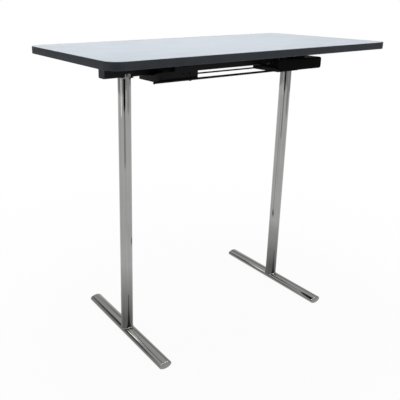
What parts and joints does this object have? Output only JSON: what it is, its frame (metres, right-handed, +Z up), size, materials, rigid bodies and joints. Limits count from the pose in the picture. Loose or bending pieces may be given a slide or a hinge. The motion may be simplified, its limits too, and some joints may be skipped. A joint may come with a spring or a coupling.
{
  "type": "drafting table",
  "caption": "Drafting table with a tilting laminate board on a chromed two-column stand, black crossbeam, friction brake and release bar.",
  "frame": {"origin": "on the floor, midway between the two columns and under the centre of the level board", "axes": "+X along the board's length, +Y from the user's side to the back, +Z up"},
  "size_m": [1.22, 0.61, 1.092],
  "materials": {
    "chrome_tube": "polished chrome plate on steel tube",
    "black_steel": "satin black baked enamel",
    "plated_steel": "zinc-plated steel",
    "laminate": "pale blue-white satin laminate",
    "vinyl_edge": "satin charcoal vinyl",
    "particleboard": "raw particleboard",
    "backer": "dull brown phenolic backer sheet",
    "nylon": "natural nylon",
    "plug_plastic": "satin black moulded plastic",
    "rubber": "matt black rubber",
    "brake_lining": "bonded friction lining"
  },
  "bodies": {
    "stand": {"beam_plug_left": "plug_plastic", "beam_plug_right": "plug_plastic", "column_left": "chrome_tube", "column_right": "chrome_tube", "column_saddle_left": "chrome_tube", "column_saddle_right": "chrome_tube", "cover_screws": "black_steel", "crossbeam": "black_steel", "foot_cap_left_front": "chrome_tube", "foot_cap_left_rear": "chrome_tube", "foot_cap_right_front": "chrome_tube", "foot_cap_right_rear": "chrome_tube", "foot_glide_left_front": "nylon", "foot_glide_left_rear": "nylon", "foot_glide_right_front": "nylon", "foot_glide_right_rear": "nylon", "foot_left": "chrome_tube", "foot_right": "chrome_tube", "housing_left": "black_steel", "housing_right": "black_steel", "housing_right_cover": "black_steel", "pin_clips": "plated_steel", "pivot_pin_left": "plated_steel", "pivot_pin_right": "plated_steel", "rest_bumper_left": "rubber", "rest_bumper_right": "rubber", "saddle_bolts": "plated_steel", "shaft_bushes": "nylon"},
    "board": {"board_core": "particleboard", "bottom_backer": "backer", "bracket_screws": "plated_steel", "brake_quadrant_left": "black_steel", "brake_quadrant_right": "black_steel", "edge_moulding": "vinyl_edge", "pivot_bushes_left": "nylon", "pivot_bushes_right": "nylon", "quadrant_rivets_left": "plated_steel", "quadrant_rivets_right": "plated_steel", "tilt_bracket_left": "black_steel", "tilt_bracket_right": "black_steel", "top_laminate": "laminate"},
    "release_bail": {"brake_arm_right": "black_steel", "brake_shoe_left": "brake_lining", "brake_shoe_right": "brake_lining", "release_arm_left": "black_steel", "release_arm_right": "black_steel", "release_bar": "black_steel", "release_shaft": "black_steel", "return_spring": "plated_steel"}
  },
  "joints": [
    {"name": "board_tilt", "type": "hinge", "parent": "stand", "child": "board", "pos_m": [0, -0.08, 1.04], "axis": [1, 0, 0], "range_deg": [0, 75]},
    {"name": "release_pull", "type": "hinge", "parent": "stand", "child": "release_bail", "pos_m": [0, 0, 0.988], "axis": [-1, 0, 0], "range_deg": [0, 5], "stiffness_Nm_per_rad": 2, "springref_deg": -11.46}
  ]
}
